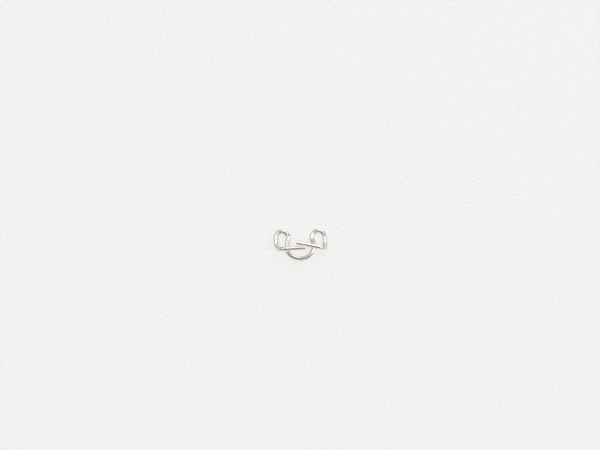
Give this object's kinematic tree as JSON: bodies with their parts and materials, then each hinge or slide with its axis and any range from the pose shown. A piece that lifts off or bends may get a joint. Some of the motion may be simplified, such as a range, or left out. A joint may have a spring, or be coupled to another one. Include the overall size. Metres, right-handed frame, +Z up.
{
  "type": "wire retaining ring",
  "caption": "Small wire retaining ring: an open seat grips a grooved pin, with a looped ear on each side and raised arms crossing back over the ears to free ends.",
  "frame": {"origin": "on the axis of the pin that the seat grips, in the plane on which the ring lies", "axes": "+Z up, along the pin's axis, from the flat seat and ears towards the raised arms; +X across the ears, to the right in the picture; +Y towards the seat's open side"},
  "size_m": [0.0066, 0.004, 0.0028],
  "materials": {
    "spring_wire": "bright drawn spring steel, smooth and shiny, with a slightly warm grey tone"
  },
  "bodies": {
    "root": {"wire": "spring_wire"}
  },
  "joints": []
}
